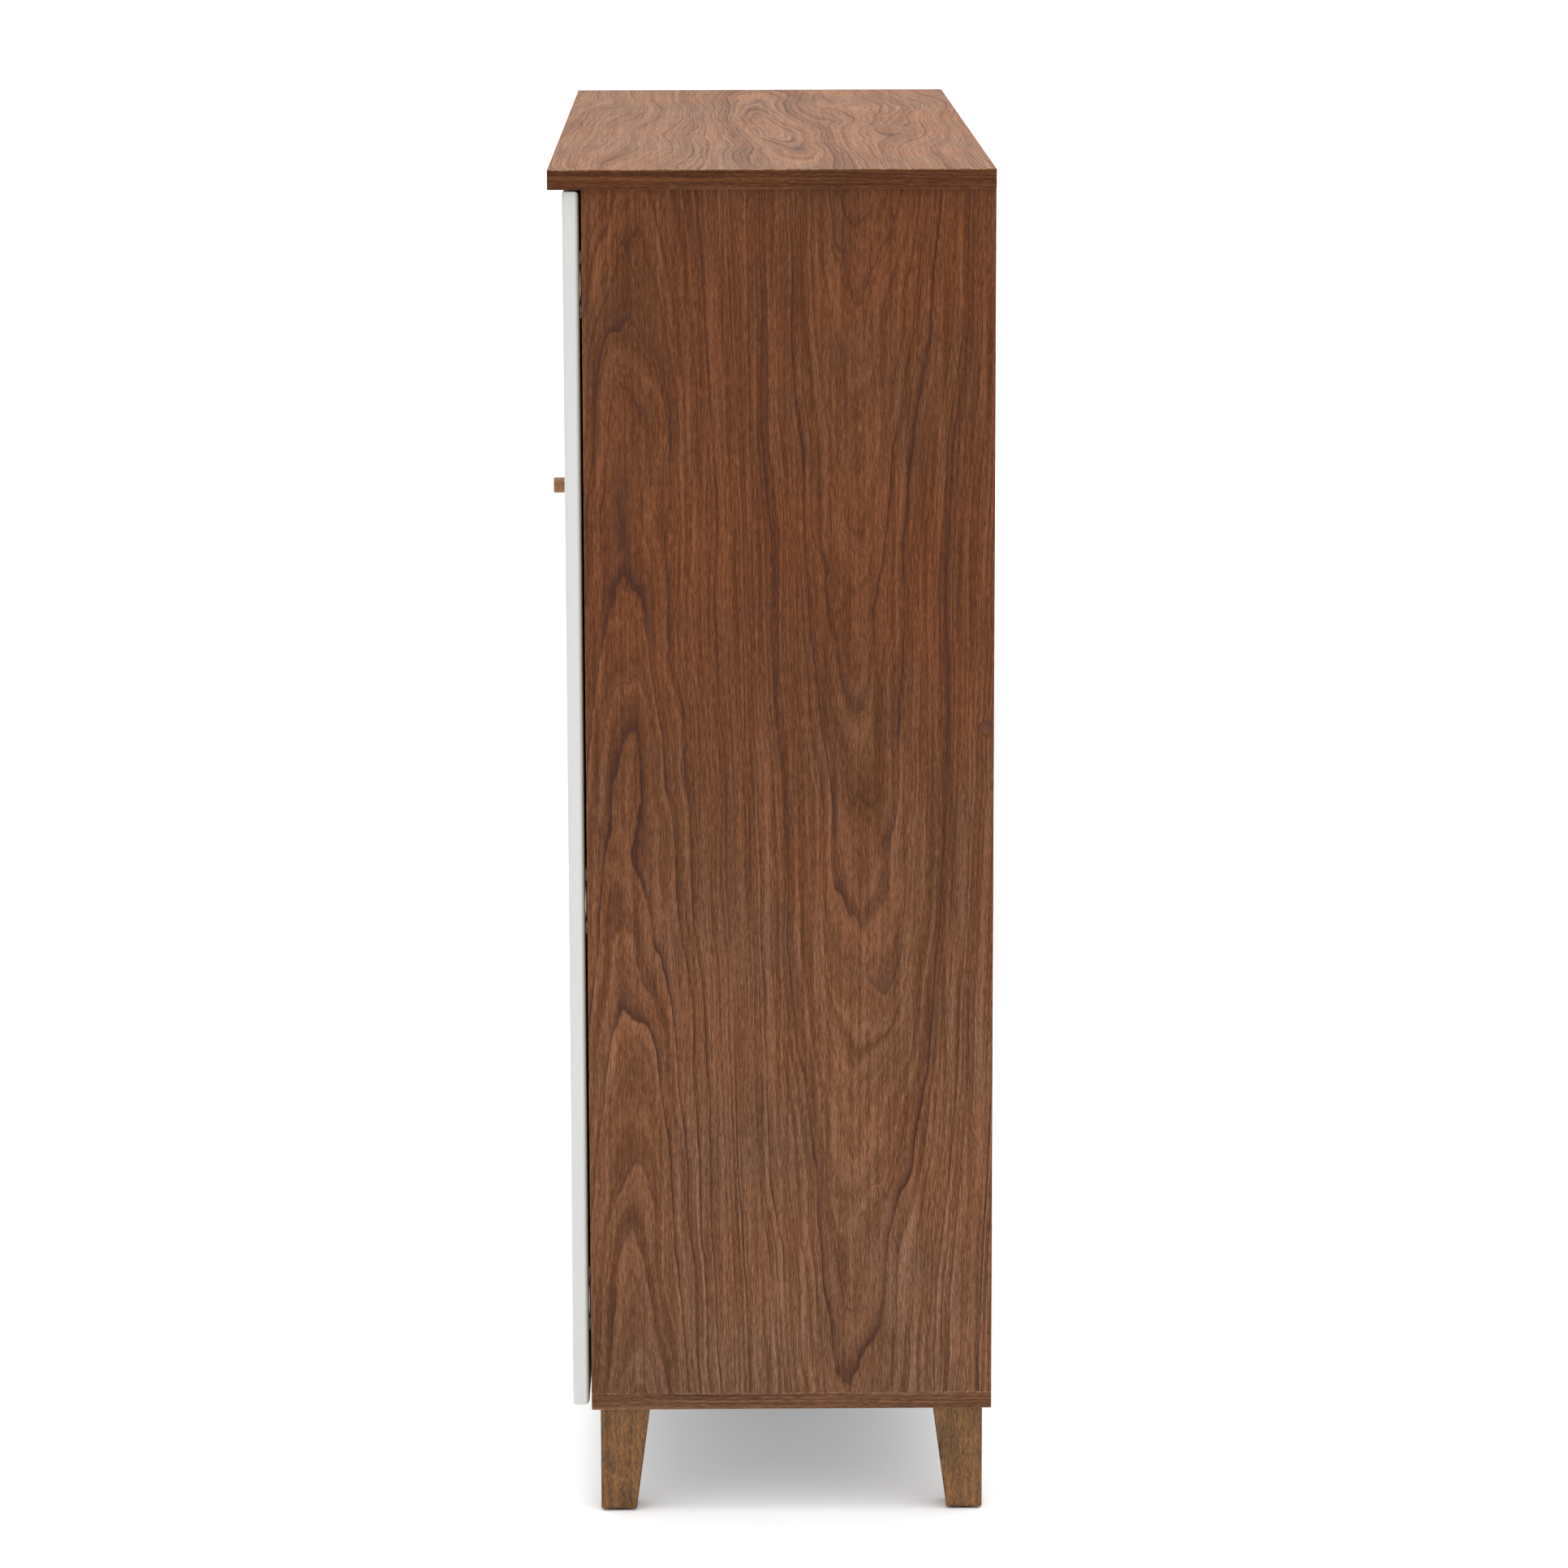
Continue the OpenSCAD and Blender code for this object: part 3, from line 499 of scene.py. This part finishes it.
def long_arrises(mesh, shortest):
    """Straight outer edges at least shortest long whose two faces turn sharply."""
    return [e for e in mesh.edges if e.calc_length() >= shortest and e.is_convex
            and len(e.link_faces) == 2 and e.calc_face_angle() > SHARP_ANGLE]


def wear_and_shade_faces(mesh):
    """The layer that says how much each face is marked: rubbed edges, and painted shade on door back
    edges and knob heads.
    """
    return mesh.faces.layers.float.get("wear_and_shade") or mesh.faces.layers.float.new("wear_and_shade")


def rounded(mesh, edges, radius, segments, wear_and_shade_at):
    """Rounds the edges and marks each new face by the function given for its centre: rubbed arrises, and
    painted shade on door back edges.
    """
    wear_and_shade_layer = wear_and_shade_faces(mesh)
    done = bmesh.ops.bevel(mesh, geom=edges, offset=radius, segments=segments, profile=0.5,
                           affect="EDGES", clamp_overlap=True)
    for face in done["faces"]:
        face[wear_and_shade_layer] = wear_and_shade_at(face.calc_center_median())


def finished_piece(name, mesh, materials, body, nodes, paint=None):
    """Turns a bmesh into a piece that rides on body and stands for nodes."""
    wear_and_shade_layer = wear_and_shade_faces(mesh)
    mesh.normal_update()
    for face in mesh.faces:
        face.smooth = True
        if paint:
            face.material_index = paint(face)
    for edge in mesh.edges:
        if len(edge.link_faces) == 2:
            one, two = edge.link_faces
            mixed = (one[wear_and_shade_layer] > 0) != (two[wear_and_shade_layer] > 0)
            edge.smooth = edge.calc_face_angle(0) < SMOOTH_ANGLE and not mixed
    data = bpy.data.meshes.new(name)
    mesh.to_mesh(data)
    mesh.free()
    for material in materials:
        data.materials.append(material)
    piece = bpy.data.objects.new(name, data)
    bpy.context.scene.collection.objects.link(piece)
    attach(piece, body)
    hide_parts(*nodes)


def turned(mesh, profile, matrix, segments, wear_and_shade_at):
    """Adds a lathe shape to mesh: profile is (radius, height) points, matrix places its axis,
    and the last function says how each row of faces is marked: rubbed rims, and painted shade on knob
    heads."""
    wear_and_shade_layer = wear_and_shade_faces(mesh)
    rows = []
    for radius, height in profile:
        if radius == 0:
            rows.append([mesh.verts.new(matrix @ Vector((0, 0, height)))])
            continue
        angles = [2 * math.pi * i / segments for i in range(segments)]
        rows.append([mesh.verts.new(matrix @ Vector((radius * math.cos(a), radius * math.sin(a), height)))
                     for a in angles])
    for row, (low, high) in enumerate(zip(rows, rows[1:])):
        for i in range(segments):
            j = (i + 1) % segments
            corners = [low[i % len(low)], low[j % len(low)], high[j % len(high)], high[i % len(high)]]
            corners = list(dict.fromkeys(corners))
            if len(corners) > 2:
                face = mesh.faces.new(corners)
                face[wear_and_shade_layer] = wear_and_shade_at(row)


def arc(centre, radius, start, end, steps):
    """Points of an arc in a lathe profile, angles in degrees from outwards to upwards."""
    angles = [math.radians(start + (end - start) * i / steps) for i in range(steps + 1)]
    return [(centre[0] + radius * math.cos(a), centre[1] + radius * math.sin(a)) for a in angles]


def axis_turn(direction):
    """The rotation that takes +Z to direction."""
    return Vector(direction).to_track_quat("Z", "Y").to_matrix().to_4x4()


# ---- Boards ----

TOP_ARRIS = 0.9 * MM
CASE_ARRIS = 0.6 * MM
INNER_ARRIS = 0.5 * MM
THIN_ARRIS = 0.3 * MM
ARRIS_SEGMENTS = 3
NEAR = 2 * MM
# How worn the arrises are, from 0 to 1
SLIGHT_WEAR = 0.25
TOP_WEAR = {"underneath": 0.12, "right": 0.75, "elsewhere": 0.3}
SIDE_WEAR = {"foot": 0.85, "elsewhere": 0.22}


def board(node, materials, radius, wear_and_shade_at=lambda point: SLIGHT_WEAR,
          paint=None, shortest=12 * MM):
    """A board with its arrises eased, in place of the CAD node. Without paint, its materials
    are for the faces along X, Y and Z."""
    mesh = copy_of_node(node)
    rounded(mesh, long_arrises(mesh, shortest), radius, ARRIS_SEGMENTS, wear_and_shade_at)
    finished_piece("board_" + node, mesh, materials, "carcass", [node], paint or facing)


def facing(face):
    """The axis that a face looks along most, 0 to 2."""
    return max(range(3), key=lambda i: abs(face.normal[i]))


def make_boards(looks):
    """Every board of the carcass, with the grain each face needs."""
    top_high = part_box("top_panel")[1]
    case_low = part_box("side_panel_right")[0]

    def top_wear(point):
        if point.z < top_high.z - NEAR:
            return TOP_WEAR["underneath"]
        return TOP_WEAR["right" if point.x > top_high.x - NEAR else "elsewhere"]

    def side_wear(point):
        return SIDE_WEAR["foot" if point.z < case_low.z + NEAR else "elsewhere"]

    def looks_of(*names):
        return [looks[name] for name in names]

    board("top_panel", looks_of("top", "edge_y", "edge_x"), TOP_ARRIS, top_wear,
          lambda face: (1, 2, 0)[facing(face)])
    for node in ("side_panel_right", "side_panel_left"):
        board(node, looks_of("side", "edge_z", "edge_y"), CASE_ARRIS, side_wear)
    board("partition_panel", looks_of("inner_z", "edge_z", "edge_y"), INNER_ARRIS)
    board("bottom_panel", looks_of("edge_low", "edge_x", "inner_x"), CASE_ARRIS)
    for node in SHELVES:
        board(node, looks_of("edge_y", "edge_x", "inner_x"), INNER_ARRIS)
    board("back_rail", looks_of("edge_y", "edge_x", "edge_x"), INNER_ARRIS)
    for node in ("back_panel_upper", "back_panel_lower"):
        low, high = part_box(node)
        middle_y = (low.y + high.y) / 2

        def veneered_inside(face, middle_y=middle_y):
            return int(face.calc_center_median().y < middle_y)

        board(node, looks_of("back", "inner_z"), THIN_ARRIS,
              paint=veneered_inside, shortest=100 * MM)


# ---- Legs and glides ----

LEG_ARRIS = 1.4 * MM
LEG_WEAR = 0.45
GLIDE_FOOT = [(0, 0), (10.2 * MM, 0)]
GLIDE_EDGE_CENTRE = (11.3 * MM, 0.9 * MM)
GLIDE_EDGE_RADIUS = 0.9 * MM
GLIDE_RADIUS = 12.4 * MM
GLIDE_TOP_RADIUS = 12.2 * MM
GLIDE_RIM_ROWS = (1, 2, 3)
GLIDE_SEGMENTS = 48
NAIL_RADIUS = 1.5 * MM
NAIL_LENGTH = 12 * MM


def make_legs(looks):
    """Tapered legs with eased edges, and a round glide nailed under each."""
    for node in LEGS:
        mesh = copy_of_node(node)
        rounded(mesh, long_arrises(mesh, 20 * MM), LEG_ARRIS, ARRIS_SEGMENTS, lambda point: LEG_WEAR)
        finished_piece("wood_" + node, mesh, [looks["leg"]], "carcass", [node])
    mesh = bmesh.new()
    for node in LEGS:
        foot = foot_centre(node)
        top = foot.z
        profile = GLIDE_FOOT + arc(GLIDE_EDGE_CENTRE, GLIDE_EDGE_RADIUS, -90, 0, 3)
        profile += [(GLIDE_RADIUS, top - 0.2 * MM), (GLIDE_TOP_RADIUS, top), (NAIL_RADIUS, top),
                    (NAIL_RADIUS, top + NAIL_LENGTH - 1 * MM), (0, top + NAIL_LENGTH)]
        turned(mesh, profile, Matrix.Translation((foot.x, foot.y, 0)), GLIDE_SEGMENTS,
               lambda row: 0.8 if row in GLIDE_RIM_ROWS else 0.0)
    finished_piece("glides", mesh, [looks["glide"]], "carcass", ["leg_glides"])


def foot_centre(node):
    """The middle of a leg's foot: the mean of its lowest corners."""
    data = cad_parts[node].data
    lowest = min(v.co.z for v in data.vertices)
    foot = [v.co for v in data.vertices if v.co.z < lowest + SAME_PLANE]
    xs, ys = [p.x for p in foot], [p.y for p in foot]
    return Vector(((min(xs) + max(xs)) / 2, (min(ys) + max(ys)) / 2, lowest))


# ---- Doors, knobs and caps ----

BACK_EDGE_RADIUS = 4.0 * MM
BACK_EDGE_SEGMENTS = 6
# How near its back a door's edge takes the full beige and painted shade, as a share of the radius
FULL_BEIGE_AND_SHADE = 0.4
KNOB_SEGMENTS = 72
# A knob from its foot to its head, in mm: (its radius less the head's, height)
KNOB_PROFILE = [(-1.9, 0), (-1.4, 0.1), (-1.2, 0.4), (-1.5, 1.4), (-2.0, 2.6), (-2.25, 4.2),
                (-2.2, 5.8), (-1.8, 7.4), (-1.1, 8.7), (-0.4, 9.6), (-0.1, 10.0), (0, 10.5)]
KNOB_RIM = 1.0 * MM
# Rows of the knob's head darkened with painted shade; the share below darkens them and the caps' rubbed
# rims
KNOB_SHADED_ROWS = (11, 12)
RIM_WEAR_AND_SHADE = 0.5
CAP_STEM = 1.6 * MM
CAP_STEM_LENGTH = 2 * MM
CAP_RIM_HEIGHT = 0.65 * MM
CAP_RIM_ROWS = (3, 4, 5)
CAP_STEPS = 8
CAP_SEGMENTS = 48


def make_doors(looks):
    """Lacquered doors: the front edges are round in the CAD, and the back ones are eased here."""
    for name in DOORS:
        node = "door_" + name
        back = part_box(node)[1].y
        mesh = copy_of_node(node)
        edges = [e for e in long_arrises(mesh, 100 * MM)
                 if all(v.co.y > back - SAME_PLANE for v in e.verts)]
        start, full = back - BACK_EDGE_RADIUS, back - FULL_BEIGE_AND_SHADE * BACK_EDGE_RADIUS

        # The beige and the painted shade grow from none at the start of the rounding to full near the
        # back
        def wear_and_shade_at(point, start=start, full=full):
            return min(1.0, max(0.0, (point.y - start) / (full - start)))

        rounded(mesh, edges, BACK_EDGE_RADIUS, BACK_EDGE_SEGMENTS, wear_and_shade_at)
        finished_piece("panel_" + node, mesh, [looks["lacquer"]], node, [node])


def make_knobs(looks):
    """Turned knobs: foot, waist and a straight head with a soft rim and a slightly domed end."""
    for name in DOORS:
        node = "knob_" + name
        low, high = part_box(node)
        head = (high.x - low.x) / 2
        length = high.y - low.y
        profile = [(0, 0.15 * MM)]
        profile += [(head + less * MM, height * MM) for less, height in KNOB_PROFILE]
        profile += [(head, length - KNOB_RIM)]
        profile += arc((head - KNOB_RIM, length - KNOB_RIM), KNOB_RIM, 0, 80, 6)
        profile += [(head * 0.6, length - 0.06 * MM), (head * 0.3, length - 0.02 * MM), (0, length)]
        middle = Vector(((low.x + high.x) / 2, high.y, (low.z + high.z) / 2))
        mesh = bmesh.new()
        turned(mesh, profile, Matrix.Translation(middle) @ axis_turn((0, -1, 0)), KNOB_SEGMENTS,
               lambda row: RIM_WEAR_AND_SHADE if row in KNOB_SHADED_ROWS else 0.0)
        finished_piece("turned_" + node, mesh, [looks["knob"]], "door_" + name, [node])


def make_caps(looks):
    """Domed covers over the two screws at the back rail."""
    low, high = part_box("screw_cover_caps")
    radius = (high.z - low.z) / 2
    dome_radius = radius - 0.25 * MM
    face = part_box("side_panel_right")[1].x
    stand = high.x - face
    profile = [(0, -CAP_STEM_LENGTH), (CAP_STEM, -CAP_STEM_LENGTH), (CAP_STEM, 0),
               (radius - 0.1 * MM, 0), (radius, 0.1 * MM), (radius, 0.35 * MM),
               (dome_radius, CAP_RIM_HEIGHT)]
    for i in range(1, CAP_STEPS):
        angle = i / CAP_STEPS * math.pi / 2
        profile.append((dome_radius * math.cos(angle),
                        CAP_RIM_HEIGHT + (stand - CAP_RIM_HEIGHT) * math.sin(angle)))
    profile.append((0, stand))
    mesh = bmesh.new()
    for side in (1, -1):
        centre = Vector((side * face, (low.y + high.y) / 2, (low.z + high.z) / 2))
        turned(mesh, profile, Matrix.Translation(centre) @ axis_turn((side, 0, 0)), CAP_SEGMENTS,
               lambda row: RIM_WEAR_AND_SHADE if row in CAP_RIM_ROWS else 0.0)
    finished_piece("caps", mesh, [looks["cap"]], "carcass", ["screw_cover_caps"])


# ---- Hardware that keeps its CAD shape ----

HARDWARE_LOOKS = {
    "nickel": ["hinge_plates", "hinge_arms", "cam_locks", "shelf_pins"]
    + [f"hinge_{part}_{d}" for part in ("links", "cups") for d in DOORS],
    "zinc": ["hinge_plate_screws", "hinge_arm_screws", "hinge_arm_pins", "confirmat_screws",
             "cam_dowels", "leg_hanger_bolts", "leg_threaded_inserts"]
    + [f"{part}_{d}" for part in ("hinge_cup_pins", "hinge_cup_screws", "knob_screw") for d in DOORS],
    "bumper": [f"door_bumpers_{d}" for d in DOORS],
}


def finish_hardware(looks):
    """Gives the CAD hardware its plated steel and soft plastic."""
    for look, nodes in HARDWARE_LOOKS.items():
        for node in nodes:
            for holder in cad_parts[node].material_slots:
                holder.material = looks[look]


# ---- Studio ----

FLOOR_HALF = 60
OVERHEAD = {"at": (-0.3, 0.0, 4.2), "towards": (0, 0, 0), "size": (4, 4), "power": 90}
LOW_FILL = {"at": (2.6, 0.0, 0.30), "towards": (0.4, 0, 0.05), "size": (0.5, 2.6), "power": 5}
UNDER_FILL_POWER = 0.5
UNDER_FILL_COLOUR = (0.88, 1.0, 1.05)
# The surround's strength below and above, and the heights between which it grows
SURROUND_STRENGTH = (0.45, 1.6)
SURROUND_RISE = (0.2, 0.75)


def make_floor():
    """A plain pale floor, wide enough to reach past the top of the view."""
    mesh = bmesh.new()
    bmesh.ops.create_grid(mesh, x_segments=8, y_segments=8, size=FLOOR_HALF)
    data = bpy.data.meshes.new("floor")
    mesh.to_mesh(data)
    mesh.free()
    made, tree, shader = new_material("floor")
    vector, *_ = place(tree)
    tone = noise(tree, vector, 0.8, 2.0)
    tree.links.new(mix(tree, tone, (0.97, 0.97, 0.97), (0.96, 0.96, 0.96)), shader.inputs["Base Color"])
    shader.inputs["Roughness"].default_value = 0.7
    shader.inputs["Specular IOR Level"].default_value = 0.2
    data.materials.append(made)
    floor = bpy.data.objects.new("floor", data)
    bpy.context.scene.collection.objects.link(floor)


def soft_light(name, at, towards, size, power, colour=(1, 1, 1)):
    """A rectangular area light that the camera doesn't see."""
    data = bpy.data.lights.new(name, "AREA")
    data.shape = "RECTANGLE"
    data.size, data.size_y = size
    data.energy = power
    data.color = colour
    lamp = bpy.data.objects.new(name, data)
    bpy.context.scene.collection.objects.link(lamp)
    lamp.location = at
    lamp.visible_camera = False
    lamp.rotation_mode = "QUATERNION"
    lamp.rotation_quaternion = (Vector(towards) - Vector(at)).to_track_quat("-Z", "Y")


def make_world():
    """A white surround like one huge soft box: bright above and dimmer low down."""
    world = bpy.data.worlds.new("studio")
    world.use_nodes = True
    tree = world.node_tree
    rise = put(tree, "SeparateXYZ", {0: put(tree, "TexCoord").outputs["Generated"]}).outputs[2]
    strength = remap(tree, rise, *SURROUND_RISE, *SURROUND_STRENGTH)
    tree.links.new(strength, tree.nodes["Background"].inputs["Strength"])
    tree.nodes["Background"].inputs["Color"].default_value = (1, 1, 1, 1)
    bpy.context.scene.world = world


def make_lights():
    """The surround, a large soft light above, a weak one near the floor on the camera's side
    and one under the cabinet that keeps its shadow pale."""
    make_world()
    soft_light("overhead", **OVERHEAD)
    soft_light("low_fill", **LOW_FILL)
    low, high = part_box("bottom_panel")
    under = (0, (low.y + high.y) / 2, low.z - 1 * MM)
    soft_light("under_fill", under, (0, under[1], 0), (high.x - low.x, high.y - low.y),
               UNDER_FILL_POWER, UNDER_FILL_COLOUR)


def main():
    """Builds the whole scene."""
    make_camera()
    bpy.context.scene.view_settings.view_transform = "Standard"
    looks = {
        "side": walnut("walnut_side", 2, lambda t, v, x, y, z: two_hearts(t, v, y, z), SIDE_TONES,
                       pale=1.0),
        "top": walnut("walnut_top", 0, lambda t, v, x, y, z: one_eye(t, v, x, y), TOP_TONES_WITH_SHEEN,
                      spacing=TOP_SPACING),
        "edge_x": straight_walnut("walnut_edge_x", 0, 2),
        "edge_y": straight_walnut("walnut_edge_y", 1, 2),
        "edge_low": straight_walnut("walnut_edge_low", 1, 2, LOW_EDGE_SHEEN_TONE),
        "edge_z": straight_walnut("walnut_edge_z", 2, 0),
        "inner_x": straight_walnut("walnut_inner_x", 0, 1, 1.1, RING_SPACING),
        "inner_z": straight_walnut("walnut_inner_z", 2, 1, 1.1, RING_SPACING),
        "leg": solid_wood("leg_wood", (0.085, 0.038, 0.013), (0.178, 0.081, 0.027),
                          (0.270, 0.124, 0.043), 0.8),
        "knob": turned_wood("knob_wood"),
        # The second colour is the doors' beige back edge with painted shade from the gap
        "lacquer": lacquer("white_lacquer", (0.548, 0.553, 0.541), (0.36, 0.305, 0.245)),
        "cap": plastic("cap_plastic", (0.088, 0.028, 0.009), 0.33, 900.0, 0.1),
        "glide": plastic("glide_plastic", (0.020, 0.018, 0.018), 0.55, 900.0, 0.2),
        "bumper": plastic("bumper_plastic", (0.72, 0.72, 0.70), 0.3, 500.0, 0.0, 0.4),
        # Nickel plating darkened so the hinges show no glints in the dark gap behind the doors: painted
        # shade
        "nickel": plated_steel("nickel_steel", (0.32, 0.31, 0.29), 0.30, 2),
        "zinc": plated_steel("zinc_steel", (0.55, 0.56, 0.58), 0.24, 0),
        "back": fibreboard("back_board", (0.15, 0.075, 0.04)),
    }
    make_boards(looks)
    make_legs(looks)
    make_doors(looks)
    make_knobs(looks)
    make_caps(looks)
    finish_hardware(looks)
    make_floor()
    make_lights()


main()
